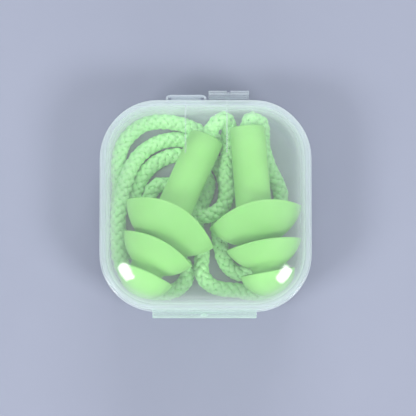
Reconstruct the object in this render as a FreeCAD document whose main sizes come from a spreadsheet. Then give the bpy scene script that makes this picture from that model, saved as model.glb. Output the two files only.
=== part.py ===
import FreeCAD, Part
import math
import os
import Sketcher

# Two corded ear plugs in a hinged case. Millimetres. +Z is up, +Y is the hinge side, and the origin is on
# the underside of the base, below the middle of the rim.

os.makedirs("parts", exist_ok=True)
doc = FreeCAD.newDocument("ear_plugs")
Vector = FreeCAD.Vector

# ---------------------------------------------------------------- driving dimensions

DRIVING = {
    # case
    "rimWide": 30.0,
    "bodyWide": 29.5,
    "cornerRadius": 8.0,
    "wall": 0.75,
    "plate": 0.9,
    "baseHigh": 9.5,
    "lidHigh": 7.1,
    "baseDraft": 1.5,
    "lidDraft": 2.5,
    "outerFillet": 1.9,
    "innerFillet": 0.9,
    "bandHigh": 1.3,
    "lipHigh": 1.0,
    "lipThick": 0.32,
    "lapGap": 0.08,
    # hinge
    "hingeMiddle": 0.25,
    "hingeWide": 11.8,
    "axisOut": 0.85,
    "barRadius": 0.35,
    "boreGap": 0.05,
    "hookThick": 0.35,
    "lugRadius": 0.55,
    "lugWide": 0.9,
    "sideGap": 0.15,
    # latch
    "tabWide": 14.6,
    "tabMiddle": -0.15,
    "tabThick": 0.75,
    "tabGap": 0.1,
    "tabDrop": 2.6,
    "tabRise": 1.1,
    "beadHigh": 0.7,
    "beadGap": 0.05,
    "partingGap": 0.04,
    # plugs
    "stemRadius": 2.55,
    "coreRadius": 2.2,
    "flangeOne": 6.85,
    "flangeTwo": 5.35,
    "flangeThree": 4.0,
    "domeOne": 7.9,
    "domeTwo": 5.85,
    "domeThree": 4.05,
    "flangeThick": 0.7,
    "rimOne": 13.65,
    "rimTwo": 17.5,
    "rimThree": 21.4,
    "boreRadius": 1.1,
    "boreDeep": 3.2,
    # cord
    "cordRadius": 1.0,
    "cordHeld": 1.2,
    "endLong": 1.6,
}

sheet = doc.addObject("Spreadsheet::Sheet", "Sizes")
for row, (name, value) in enumerate(DRIVING.items(), start=1):
    sheet.set("A%d" % row, name)
    sheet.set("B%d" % row, str(value))
    sheet.setAlias("B%d" % row, name)
doc.recompute()


def size(name):
    return getattr(sheet, name)


# Each plug: the middle of its stem's end, the way its tip points in plan, and how far its tip is raised.
PLUGS = {
    "left": {"stem_end": Vector(0.17, 10.04, 5.5), "turn": -24.0, "raise": 10.0},
    "right": {"stem_end": Vector(5.95, 11.4, 7.0), "turn": 4.5, "raise": 4.0},
}


def tip_direction(plug):
    turn = math.radians(plug["turn"])
    lift = math.radians(plug["raise"])
    return Vector(math.sin(turn) * math.cos(lift), -math.cos(turn) * math.cos(lift), math.sin(lift))


# ---------------------------------------------------------------- sketches


def origin_plane(body, role):
    for feature in body.Origin.OriginFeatures:
        if feature.Role == role:
            return feature
    raise RuntimeError("no plane " + role)


def level_sketch(body, name, height):
    """A sketch parallel to the base, at a height given as an expression."""
    sketch = body.newObject("Sketcher::SketchObject", name)
    sketch.AttachmentSupport = [(origin_plane(body, "XY_Plane"), "")]
    sketch.MapMode = "FlatFace"
    sketch.setExpression("AttachmentOffset.Base.z", height)
    return sketch


def add_rounded_square(sketch, half, radius, tag):
    """A square with round corners about the origin. half and radius are expressions."""
    doc.recompute()
    side, corner = 10.0, 3.0
    inner = side - corner
    first = sketch.GeometryCount
    corners = [(inner, -inner), (inner, inner), (-inner, inner), (-inner, -inner)]
    for index, (x, y) in enumerate(corners):
        start = math.radians(90 * index - 90)
        circle = Part.Circle(Vector(x, y, 0), Vector(0, 0, 1), corner)
        sketch.addGeometry(Part.ArcOfCircle(circle, start, start + math.pi / 2))
    for index in range(4):
        here = sketch.Geometry[first + index]
        after = sketch.Geometry[first + (index + 1) % 4]
        sketch.addGeometry(Part.LineSegment(here.EndPoint, after.StartPoint))
    for index in range(4):
        arc, line, after = first + index, first + 4 + index, first + (index + 1) % 4
        sketch.addConstraint(Sketcher.Constraint("Tangent", arc, 2, line, 1))
        sketch.addConstraint(Sketcher.Constraint("Tangent", line, 2, after, 1))
        sketch.addConstraint(Sketcher.Constraint("Horizontal" if index % 2 else "Vertical", line))
        if index:
            sketch.addConstraint(Sketcher.Constraint("Equal", first, arc))
    sides = {
        "East": ("DistanceX", -1, 1, first + 4, 1),
        "North": ("DistanceY", -1, 1, first + 5, 1),
        "West": ("DistanceX", first + 6, 1, -1, 1),
        "South": ("DistanceY", first + 7, 1, -1, 1),
    }
    for label, (kind, *ends) in sides.items():
        at = sketch.addConstraint(Sketcher.Constraint(kind, *ends, side))
        sketch.renameConstraint(at, tag + label)
        sketch.setExpression("Constraints." + tag + label, half)
    at = sketch.addConstraint(Sketcher.Constraint("Radius", first, corner))
    sketch.renameConstraint(at, tag + "Radius")
    sketch.setExpression("Constraints." + tag + "Radius", radius)


def pad(body, sketch, name, length, taper=None):
    feature = body.newObject("PartDesign::Pad", name)
    feature.Profile = sketch
    feature.setExpression("Length", length)
    if taper:
        feature.setExpression("TaperAngle", taper)
    doc.recompute()
    return feature


def pocket(body, sketch, name, length, upward, taper=None):
    """Cuts down from the sketch, or up from it, and stops if nothing was cut."""
    before = body.Shape.Volume
    feature = body.newObject("PartDesign::Pocket", name)
    feature.Profile = sketch
    feature.Reversed = upward
    feature.setExpression("Length", length)
    if taper:
        feature.setExpression("TaperAngle", taper)
    doc.recompute()
    if body.Shape.Volume >= before - 0.01:
        raise RuntimeError(name + " cut nothing")
    return feature


def fillet_level_edges(body, feature, name, radius, height, inside):
    """Rounds the edges that lie at a height, either the outermost ones or those inside the walls."""
    reach = size("bodyWide") / 2 - size("wall")
    names = []
    for index, edge in enumerate(feature.Shape.Edges, start=1):
        box = edge.BoundBox
        level = abs(box.ZMin - height) < 0.01 and abs(box.ZMax - height) < 0.01
        far = max(abs(box.XMin), abs(box.XMax), abs(box.YMin), abs(box.YMax))
        if level and (far <= reach + 0.01) == inside:
            names.append("Edge%d" % index)
    rounded = body.newObject("PartDesign::Fillet", name)
    rounded.Base = (feature, names)
    rounded.setExpression("Radius", radius)
    doc.recompute()
    return rounded


# ---------------------------------------------------------------- case shells

INNER_HALF = "Sizes.bodyWide / 2 - Sizes.wall"
INNER_RADIUS = "Sizes.cornerRadius - Sizes.wall"


def make_base_shell():
    body = doc.addObject("PartDesign::Body", "BaseShell")
    foot = level_sketch(body, "BaseFoot", "0 mm")
    shrink = "Sizes.baseHigh * tan(Sizes.baseDraft)"
    add_rounded_square(foot, "Sizes.bodyWide / 2 - " + shrink, "Sizes.cornerRadius - " + shrink, "foot")
    walls = pad(body, foot, "BaseWalls", "Sizes.baseHigh", "Sizes.baseDraft")
    fillet_level_edges(body, walls, "BaseRound", "Sizes.outerFillet", 0.0, False)

    rim = level_sketch(body, "BandSketch", "Sizes.baseHigh - Sizes.bandHigh")
    rim_radius = "Sizes.cornerRadius + (Sizes.rimWide - Sizes.bodyWide) / 2"
    add_rounded_square(rim, "Sizes.rimWide / 2", rim_radius, "band")
    pad(body, rim, "RimBand", "Sizes.bandHigh")

    lip = level_sketch(body, "LipSketch", "Sizes.baseHigh")
    grow = " - Sizes.wall + Sizes.lipThick"
    add_rounded_square(lip, "Sizes.bodyWide / 2" + grow, "Sizes.cornerRadius" + grow, "lip")
    pad(body, lip, "LapLip", "Sizes.lipHigh")

    mouth = level_sketch(body, "MouthSketch", "Sizes.baseHigh + Sizes.lipHigh")
    add_rounded_square(mouth, INNER_HALF, INNER_RADIUS, "mouth")
    pocket(body, mouth, "Mouth", "Sizes.lipHigh", False)

    hollow = level_sketch(body, "HollowSketch", "Sizes.baseHigh")
    add_rounded_square(hollow, INNER_HALF, INNER_RADIUS, "hollow")
    cut = pocket(body, hollow, "Hollow", "Sizes.baseHigh - Sizes.plate", False, "-Sizes.baseDraft")
    fillet_level_edges(body, cut, "HollowRound", "Sizes.innerFillet", size("plate"), True)
    return body


def make_lid_shell():
    body = doc.addObject("PartDesign::Body", "LidShell")
    foot = level_sketch(body, "LidFoot", "Sizes.baseHigh + Sizes.partingGap")
    add_rounded_square(foot, "Sizes.bodyWide / 2", "Sizes.cornerRadius", "foot")
    walls = pad(body, foot, "LidWalls", "Sizes.lidHigh - Sizes.partingGap", "-Sizes.lidDraft")
    top = size("baseHigh") + size("lidHigh")
    fillet_level_edges(body, walls, "LidRound", "Sizes.outerFillet", top, False)

    hollow = level_sketch(body, "LidHollowSketch", "Sizes.baseHigh")
    add_rounded_square(hollow, INNER_HALF, INNER_RADIUS, "hollow")
    cut = pocket(body, hollow, "LidHollow", "Sizes.lidHigh - Sizes.plate", True, "-Sizes.lidDraft")
    ceiling = top - size("plate")
    fillet_level_edges(body, cut, "LidHollowRound", "Sizes.innerFillet", ceiling, True)

    rebate = level_sketch(body, "RebateSketch", "Sizes.baseHigh")
    grow = " - Sizes.wall + Sizes.lipThick + Sizes.lapGap"
    add_rounded_square(rebate, "Sizes.bodyWide / 2" + grow, "Sizes.cornerRadius" + grow, "rebate")
    pocket(body, rebate, "Rebate", "Sizes.lipHigh + Sizes.lapGap", True)
    return body


# ---------------------------------------------------------------- hinge and latch pieces


def make_box(name, length, width, height, x, y, z):
    """A box from its three sizes and its lowest corner, all expressions."""
    box = doc.addObject("Part::Box", name)
    for field, value in zip(("Length", "Width", "Height"), (length, width, height)):
        box.setExpression(field, value)
    for field, value in zip("xyz", (x, y, z)):
        box.setExpression("Placement.Base." + field, value)
    return box


AXIS_Y = "(Sizes.bodyWide / 2 + Sizes.axisOut)"
AXIS_Z = "Sizes.baseHigh"


def make_x_rod(name, radius, length, x):
    """A round rod along X on the hinge's axis."""
    rod = doc.addObject("Part::Cylinder", name)
    rod.setExpression("Radius", radius)
    rod.setExpression("Height", length)
    rod.Placement.Rotation = FreeCAD.Rotation(Vector(0, 1, 0), 90)
    rod.setExpression("Placement.Base.x", x)
    rod.setExpression("Placement.Base.y", AXIS_Y)
    rod.setExpression("Placement.Base.z", AXIS_Z)
    return rod


HALF = "(Sizes.hingeWide / 2)"
REACH = "(Sizes.axisOut + Sizes.wall / 2)"
ROOT_Y = "(Sizes.bodyWide / 2 - Sizes.wall / 2)"


def make_bar(tag, start, above):
    """One hinge bar between two lugs that stand out from the wall, above or below the parting plane."""
    pieces = [make_x_rod(tag + "Bar", "Sizes.barRadius", HALF + " - Sizes.sideGap", start)]
    for index, shift in enumerate(("0", HALF + " - Sizes.sideGap - Sizes.lugWide")):
        x = start + " + " + shift
        pieces.append(make_x_rod("%sLug%d" % (tag, index), "Sizes.lugRadius", "Sizes.lugWide", x))
        z = AXIS_Z + (" + Sizes.boreGap" if above else " - Sizes.lugRadius")
        height = "Sizes.lugRadius - Sizes.boreGap"
        pieces.append(make_box("%sRoot%d" % (tag, index), "Sizes.lugWide", REACH, height, x, ROOT_Y, z))
    return pieces


def make_hook(tag, start, above):
    """A hook round the other shell's bar: a ring without the quarter that faces that shell's wall."""
    x = start + " + Sizes.lugWide + Sizes.sideGap"
    width = HALF + " - 2 * Sizes.lugWide - 3 * Sizes.sideGap"
    outer = "(Sizes.barRadius + Sizes.boreGap + Sizes.hookThick)"
    ring = doc.addObject("Part::Cut", tag + "Ring")
    ring.Base = make_x_rod(tag + "Outer", outer, width, x)
    ring.Tool = make_x_rod(tag + "Bore", "Sizes.barRadius + Sizes.boreGap", width, x)
    mouth_z = AXIS_Z + (" - " + outer if above else "")
    mouth = make_box(tag + "Mouth", width, outer, outer, x, AXIS_Y + " - " + outer, mouth_z)
    hook = doc.addObject("Part::Cut", tag)
    hook.Base = ring
    hook.Tool = mouth
    arm_z = AXIS_Z + (" + Sizes.barRadius + Sizes.boreGap" if above else " - " + outer)
    arm = make_box(tag + "Arm", width, REACH, "Sizes.hookThick", x, ROOT_Y, arm_z)
    return [hook, arm]


LEFT_START = "Sizes.hingeMiddle - " + HALF
RIGHT_START = "Sizes.hingeMiddle + Sizes.sideGap"


def join(name, label, pieces):
    fused = doc.addObject("Part::MultiFuse", name)
    fused.Shapes = pieces
    fused.Label = label
    doc.recompute()
    return fused


def make_case_base():
    shell = make_base_shell()
    gap = doc.addObject("Part::Cut", "BandGap")
    gap.Base = shell
    gap.Tool = make_box(
        "HingeGap",
        "Sizes.hingeWide + 4 * Sizes.sideGap",
        "Sizes.axisOut",
        "Sizes.bandHigh",
        "Sizes.hingeMiddle - " + HALF + " - 2 * Sizes.sideGap",
        "Sizes.bodyWide / 2",
        "Sizes.baseHigh - Sizes.bandHigh",
    )
    pieces = [gap]
    pieces += make_bar("BaseBar", RIGHT_START, False)
    pieces += make_hook("BaseHook", LEFT_START, False)
    return join("CaseBase", "case_base", pieces)


def make_case_lid():
    pieces = [make_lid_shell()]
    pieces += make_bar("LidBar", LEFT_START, True)
    pieces += make_hook("LidHook", RIGHT_START, True)
    inner = "-Sizes.rimWide / 2 - Sizes.tabGap"
    left = "Sizes.tabMiddle - Sizes.tabWide / 2"
    depth = "(Sizes.rimWide - Sizes.bodyWide) / 2 + Sizes.tabGap + Sizes.tabThick + Sizes.lipThick"
    pieces.append(
        make_box(
            "TabFlange",
            "Sizes.tabWide",
            depth,
            "Sizes.tabRise - Sizes.beadGap",
            left,
            inner + " - Sizes.tabThick",
            "Sizes.baseHigh + Sizes.beadGap",
        )
    )
    pieces.append(
        make_box(
            "TabSkirt",
            "Sizes.tabWide",
            "Sizes.tabThick",
            "Sizes.tabDrop + Sizes.tabRise",
            left,
            inner + " - Sizes.tabThick",
            "Sizes.baseHigh - Sizes.tabDrop",
        )
    )
    pieces.append(
        make_box(
            "TabBead",
            "Sizes.tabWide / 3",
            "Sizes.beadGap + Sizes.tabThick / 2",
            "Sizes.beadHigh",
            "Sizes.tabMiddle - Sizes.tabWide / 6",
            inner + " - Sizes.tabThick / 2",
            "Sizes.baseHigh - Sizes.bandHigh - Sizes.beadGap - Sizes.beadHigh",
        )
    )
    return join("CaseLid", "case_lid", pieces)


# ---------------------------------------------------------------- plugs


def make_flange(tag, rim, radius, dome):
    """An umbrella: the part of a spherical shell that lies beyond the rim's plane, open towards the stem."""
    middle = "%s - sqrt(%s ^ 2 - %s ^ 2)" % (rim, dome, radius)
    outside = doc.addObject("Part::Sphere", tag + "Outside")
    outside.setExpression("Radius", dome)
    outside.setExpression("Angle1", "acos(%s / %s)" % (radius, dome))
    outside.Angle2 = 90
    outside.setExpression("Placement.Base.z", middle)
    inside = doc.addObject("Part::Sphere", tag + "Inside")
    inside.setExpression("Radius", dome + " - Sizes.flangeThick")
    inside.setExpression("Placement.Base.z", middle)
    flange = doc.addObject("Part::Cut", tag)
    flange.Base = outside
    flange.Tool = inside
    return flange


def make_plug(side):
    """One plug along its own Z, stem end at 0, then laid in its place."""
    tag = side.capitalize()
    stem = doc.addObject("Part::Cylinder", tag + "Stem")
    stem.setExpression("Radius", "Sizes.stemRadius")
    stem.setExpression("Height", "Sizes.rimOne")
    core = doc.addObject("Part::Cylinder", tag + "Core")
    core.setExpression("Radius", "Sizes.coreRadius")
    core.setExpression("Height", "Sizes.rimThree + Sizes.domeThree / 2")
    pieces = [stem, core]
    for number in ("One", "Two", "Three"):
        values = ["Sizes." + kind + number for kind in ("rim", "flange", "dome")]
        pieces.append(make_flange(tag + number, *values))
    solid = doc.addObject("Part::MultiFuse", tag + "Solid")
    solid.Shapes = pieces
    bore = doc.addObject("Part::Cylinder", tag + "Bore")
    bore.setExpression("Radius", "Sizes.boreRadius")
    bore.setExpression("Height", "Sizes.boreDeep")
    plug = doc.addObject("Part::Cut", tag + "Plug")
    plug.Base = solid
    plug.Tool = bore
    plug.Label = "plug_" + side
    place = PLUGS[side]
    turn = FreeCAD.Rotation(Vector(0, 0, 1), tip_direction(place))
    plug.Placement = FreeCAD.Placement(place["stem_end"], turn)
    doc.recompute()
    return plug


# ---------------------------------------------------------------- cord

FLOOR = 1.93
SECOND = 4.1

# The corners of the cord's route between the plugs, in the order that the cord passes them.
ROUTE = [
    (2.2, 13.05, 5.0), (3.75, 12.3, 4.4), (3.8, 10.3, 3.85), (3.5, 8.3, SECOND), (3.0, 6.3, SECOND),
    (2.9, 4.3, SECOND), (3.2, 2.3, SECOND), (2.7, 0.4, SECOND), (1.2, -0.9, SECOND), (-0.8, -1.4, 3.95),
    (-2.9, -1.1, 3.1), (-4.9, -0.3, 2.2), (-6.9, 0.6, FLOOR), (-8.9, 1.2, FLOOR), (-10.2, 2.8, FLOOR),
    (-9.6, 4.8, FLOOR), (-7.8, 6.0, FLOOR), (-5.8, 6.9, FLOOR), (-3.7, 7.1, FLOOR), (-1.7, 6.4, FLOOR),
    (-0.1, 5.1, FLOOR), (0.75, 3.2, FLOOR), (0.55, 1.2, FLOOR), (-0.15, -0.7, FLOOR), (-0.6, -2.6, FLOOR),
    (-0.25, -4.6, FLOOR), (-0.6, -6.6, FLOOR), (-1.35, -8.5, FLOOR), (-1.0, -10.5, FLOOR),
    (0.6, -11.7, FLOOR), (2.6, -12.05, FLOOR), (4.6, -11.9, FLOOR), (6.6, -12.3, FLOOR),
    (8.7, -12.3, FLOOR), (10.7, -11.3, FLOOR), (11.5, -9.4, FLOOR), (10.5, -7.7, FLOOR),
    (8.5, -7.7, FLOOR), (6.7, -8.8, FLOOR), (4.8, -9.6, FLOOR), (3.2, -8.5, FLOOR), (2.35, -6.7, FLOOR),
    (2.1, -4.7, FLOOR), (1.7, -2.7, FLOOR), (2.05, -0.7, FLOOR), (2.8, 1.1, FLOOR), (3.0, 3.1, FLOOR),
    (2.6, 5.1, FLOOR), (1.4, 6.8, FLOOR), (-0.3, 8.1, FLOOR), (-2.2, 9.1, FLOOR), (-4.3, 9.7, FLOOR),
    (-6.4, 9.6, FLOOR), (-8.3, 8.8, FLOOR), (-9.7, 7.6, 2.2), (-11.0, 6.1, 3.2), (-12.1, 4.3, 4.05),
    (-12.7, 2.1, SECOND), (-12.6, -0.1, SECOND), (-12.7, -2.4, SECOND), (-12.65, -4.7, SECOND),
    (-12.5, -7.0, 4.0), (-11.7, -9.2, 3.6), (-10.1, -11.2, 2.9), (-7.9, -12.35, 2.2), (-5.7, -12.4, FLOOR),
    (-3.9, -11.3, FLOOR), (-3.5, -9.3, FLOOR), (-4.6, -7.6, FLOOR), (-6.5, -7.0, FLOOR),
    (-8.5, -7.3, FLOOR), (-10.4, -6.7, FLOOR), (-12.0, -5.3, FLOOR), (-12.7, -3.3, FLOOR),
    (-12.6, -1.2, FLOOR), (-12.7, 1.0, FLOOR), (-12.6, 3.1, FLOOR), (-12.75, 5.2, FLOOR),
    (-12.65, 7.3, FLOOR), (-12.15, 9.35, FLOOR), (-11.0, 11.1, FLOOR), (-9.3, 12.4, FLOOR),
    (-7.2, 12.7, FLOOR), (-5.1, 12.65, FLOOR), (-3.1, 12.2, FLOOR), (-1.3, 11.45, FLOOR), (0.5, 10.4, FLOOR),
    (2.4, 9.6, FLOOR), (4.2, 8.7, FLOOR), (5.4, 7.1, FLOOR), (5.7, 5.1, FLOOR), (5.8, 3.1, FLOOR),
    (6.1, 1.1, FLOOR), (7.2, -0.6, FLOOR), (9.2, -1.0, FLOOR), (10.9, 0.0, FLOOR), (11.5, 1.9, FLOOR),
    (10.9, 3.8, FLOOR), (9.9, 5.5, FLOOR), (9.2, 7.3, FLOOR), (8.9, 9.1, 2.2), (9.2, 10.8, 3.2),
    (9.5, 12.0, 4.5), (8.4, 12.75, 5.9),
]

LEAD_LEFT = 1.4
LEAD_RIGHT = 1.45


def full_route():
    """Adds each end of the cord: a point held in the stem's bore and one straight out of it."""
    ends = []
    for side, lead in (("left", LEAD_LEFT), ("right", LEAD_RIGHT)):
        inward = tip_direction(PLUGS[side])
        mouth = PLUGS[side]["stem_end"]
        ends.append([mouth + inward * size("cordHeld"), mouth - inward * lead])
    return ends[0] + [Vector(*point) for point in ROUTE] + ends[1][::-1]


def tangent_wire(points):
    """Straight runs joined by tangent arcs, each as large as its two runs allow."""
    edges = []
    radii = []
    start = points[0]
    for before, corner, after in zip(points, points[1:], points[2:]):
        into = (corner - before).normalize()
        out = (after - corner).normalize()
        half_turn = into.getAngle(out) / 2
        reach = 0.45 * min(corner.distanceToPoint(before), corner.distanceToPoint(after))
        radius = reach / math.tan(half_turn)
        first = corner - into * reach
        last = corner + out * reach
        inward = (out - into).normalize()
        middle = corner + inward * (radius / math.cos(half_turn) - radius)
        edges.append(Part.LineSegment(start, first).toShape())
        edges.append(Part.Arc(first, middle, last).toShape())
        radii.append(radius)
        start = last
    edges.append(Part.LineSegment(start, points[-1]).toShape())
    return Part.Wire(edges), radii


def make_cord():
    points = full_route()
    wire, radii = tangent_wire(points)
    heading = (points[1] - points[0]).normalize()
    circle = Part.Circle(points[0], heading, size("cordRadius"))
    section = Part.Wire([circle.toShape()])
    tube = wire.makePipeShell([section], True, True, 1)
    cord = doc.addObject("Part::Feature", "CordRun")
    cord.Shape = tube
    cord.Label = "cord_run"
    expected = math.pi * size("cordRadius") ** 2 * wire.Length
    print("cord length %.1f mm, points %d" % (wire.Length, len(points)))
    print("cord radii %.2f to %.2f mm" % (min(radii), max(radii)))
    print("tight corners", [(i + 1, round(r, 2)) for i, r in enumerate(radii) if r < 1.6])
    print("cord volume %.1f, section times length %.1f" % (tube.Volume, expected))
    if abs(tube.Volume / expected - 1) > 0.01:
        raise RuntimeError("the cord's tube folds into itself")
    return cord


def make_cord_end(side):
    """The cord's melted end, bonded in the bottom of its bore."""
    end = doc.addObject("Part::Cylinder", "CordEnd" + side.capitalize())
    end.setExpression("Radius", "Sizes.cordRadius")
    end.setExpression("Height", "Sizes.endLong")
    end.Label = "cord_end_" + side
    inward = tip_direction(PLUGS[side])
    turn = FreeCAD.Rotation(Vector(0, 0, 1), inward)
    place = PLUGS[side]["stem_end"] + inward * size("cordHeld")
    end.Placement = FreeCAD.Placement(place, turn)
    return end


# ---------------------------------------------------------------- build, test and write


def check_document():
    for item in doc.Objects:
        for word in ("Invalid", "Error"):
            if word in item.State:
                raise RuntimeError(item.Name + " is " + word)


def write_parts(parts):
    for part in parts:
        shape = part.Shape
        if shape.isNull() or not shape.isValid():
            raise RuntimeError(part.Label + " has no valid shape")
    for part in parts:
        part.Shape.exportStep("parts/%s.step" % part.Label)
        box = part.Shape.BoundBox
        ends = (box.XMin, box.XMax, box.YMin, box.YMax, box.ZMin, box.ZMax)
        print("%-16s solids %d volume %.1f" % (part.Label, len(part.Shape.Solids), part.Shape.Volume))
        print("    x %.2f %.2f y %.2f %.2f z %.2f %.2f" % ends)


parts = [
    make_case_base(),
    make_case_lid(),
    make_plug("left"),
    make_plug("right"),
    make_cord(),
    make_cord_end("left"),
    make_cord_end("right"),
]
doc.recompute()
check_document()
write_parts(parts)
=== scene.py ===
import math

import bmesh
import bpy
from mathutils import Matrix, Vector


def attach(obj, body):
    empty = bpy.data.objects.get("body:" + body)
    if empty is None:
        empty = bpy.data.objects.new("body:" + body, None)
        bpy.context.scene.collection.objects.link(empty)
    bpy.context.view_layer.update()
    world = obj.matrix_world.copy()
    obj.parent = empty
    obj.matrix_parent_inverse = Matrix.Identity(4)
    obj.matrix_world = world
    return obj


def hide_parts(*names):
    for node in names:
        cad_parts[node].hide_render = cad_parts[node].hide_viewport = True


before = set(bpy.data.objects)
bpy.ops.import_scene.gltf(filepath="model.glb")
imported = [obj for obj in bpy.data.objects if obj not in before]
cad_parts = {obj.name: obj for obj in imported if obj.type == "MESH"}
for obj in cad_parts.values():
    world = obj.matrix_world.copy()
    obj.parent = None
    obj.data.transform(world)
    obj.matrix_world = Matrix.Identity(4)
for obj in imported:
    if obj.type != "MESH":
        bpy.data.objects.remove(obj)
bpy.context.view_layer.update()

# Sizes and places are in millimetres, and angles in degrees, unless a comment says otherwise.
MM = 0.001

# ---------------------------------------------------------------- the case's main sizes

RIM_HALF = 15.0
BODY_HALF = 14.75
CORNER = 8.0
WALL = 0.75
PLATE = 0.9
PARTING = 9.5
TOP = 16.6
# The drafts are tangents.
BASE_DRAFT = math.tan(math.radians(1.5))
LID_DRAFT = math.tan(math.radians(2.5))
HINGE_Y = 15.6
HINGE_MIDDLE = 0.25
HINGE_HALF = 5.9

# ---------------------------------------------------------------- mesh helpers


def new_object(name, bm):
    """A smooth-shaded object from a bmesh, which is freed."""
    mesh = bpy.data.meshes.new(name)
    bmesh.ops.recalc_face_normals(bm, faces=bm.faces)
    bm.to_mesh(mesh)
    bm.free()
    obj = bpy.data.objects.new(name, mesh)
    bpy.context.scene.collection.objects.link(obj)
    for face in mesh.polygons:
        face.use_smooth = True
    return obj


def add_loop(bm, points):
    return [bm.verts.new([c * MM for c in p]) for p in points]


def bridge(bm, first, second):
    """Faces between two rings of as many vertices."""
    count = len(first)
    for i in range(count):
        j = (i + 1) % count
        bm.faces.new((first[i], first[j], second[j], second[i]))


def skin(bm, loops):
    """Faces between loops of points in turn."""
    rings = [add_loop(bm, loop) for loop in loops]
    for first, second in zip(rings, rings[1:]):
        bridge(bm, first, second)
    return rings


def cap(bm, rings):
    """Closes both ends of a row of rings."""
    bm.faces.new(rings[0])
    bm.faces.new(rings[-1][::-1])


def heading(turn, lift):
    """The direction at an angle in plan from the front, and at an angle above level."""
    turn = math.radians(turn)
    lift = math.radians(lift)
    return Vector((math.sin(turn) * math.cos(lift), -math.cos(turn) * math.cos(lift),
                   math.sin(lift)))


def steady_frames(points):
    """A side and an up, square to the line at each point, carried along without twist."""
    frames = []
    side = Vector((1, 0, 0))
    for i in range(len(points)):
        ahead = points[min(i + 1, len(points) - 1)]
        behind = points[max(i - 1, 0)]
        tangent = (ahead - behind).normalized()
        side = (side - tangent * side.dot(tangent)).normalized()
        frames.append((side, tangent.cross(side)))
    return frames


def tube(bm, points, radius, sides, every=1):
    """A round tube along points, with closed ends and a ring at every so many of them."""
    loops = []
    for point, (side, up) in zip(points, steady_frames(points)):
        angles = [2 * math.pi * k / sides for k in range(sides)]
        loops.append([point + (side * math.cos(a) + up * math.sin(a)) * radius for a in angles])
    cap(bm, skin(bm, loops[::every]))


# ---------------------------------------------------------------- cord

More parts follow.
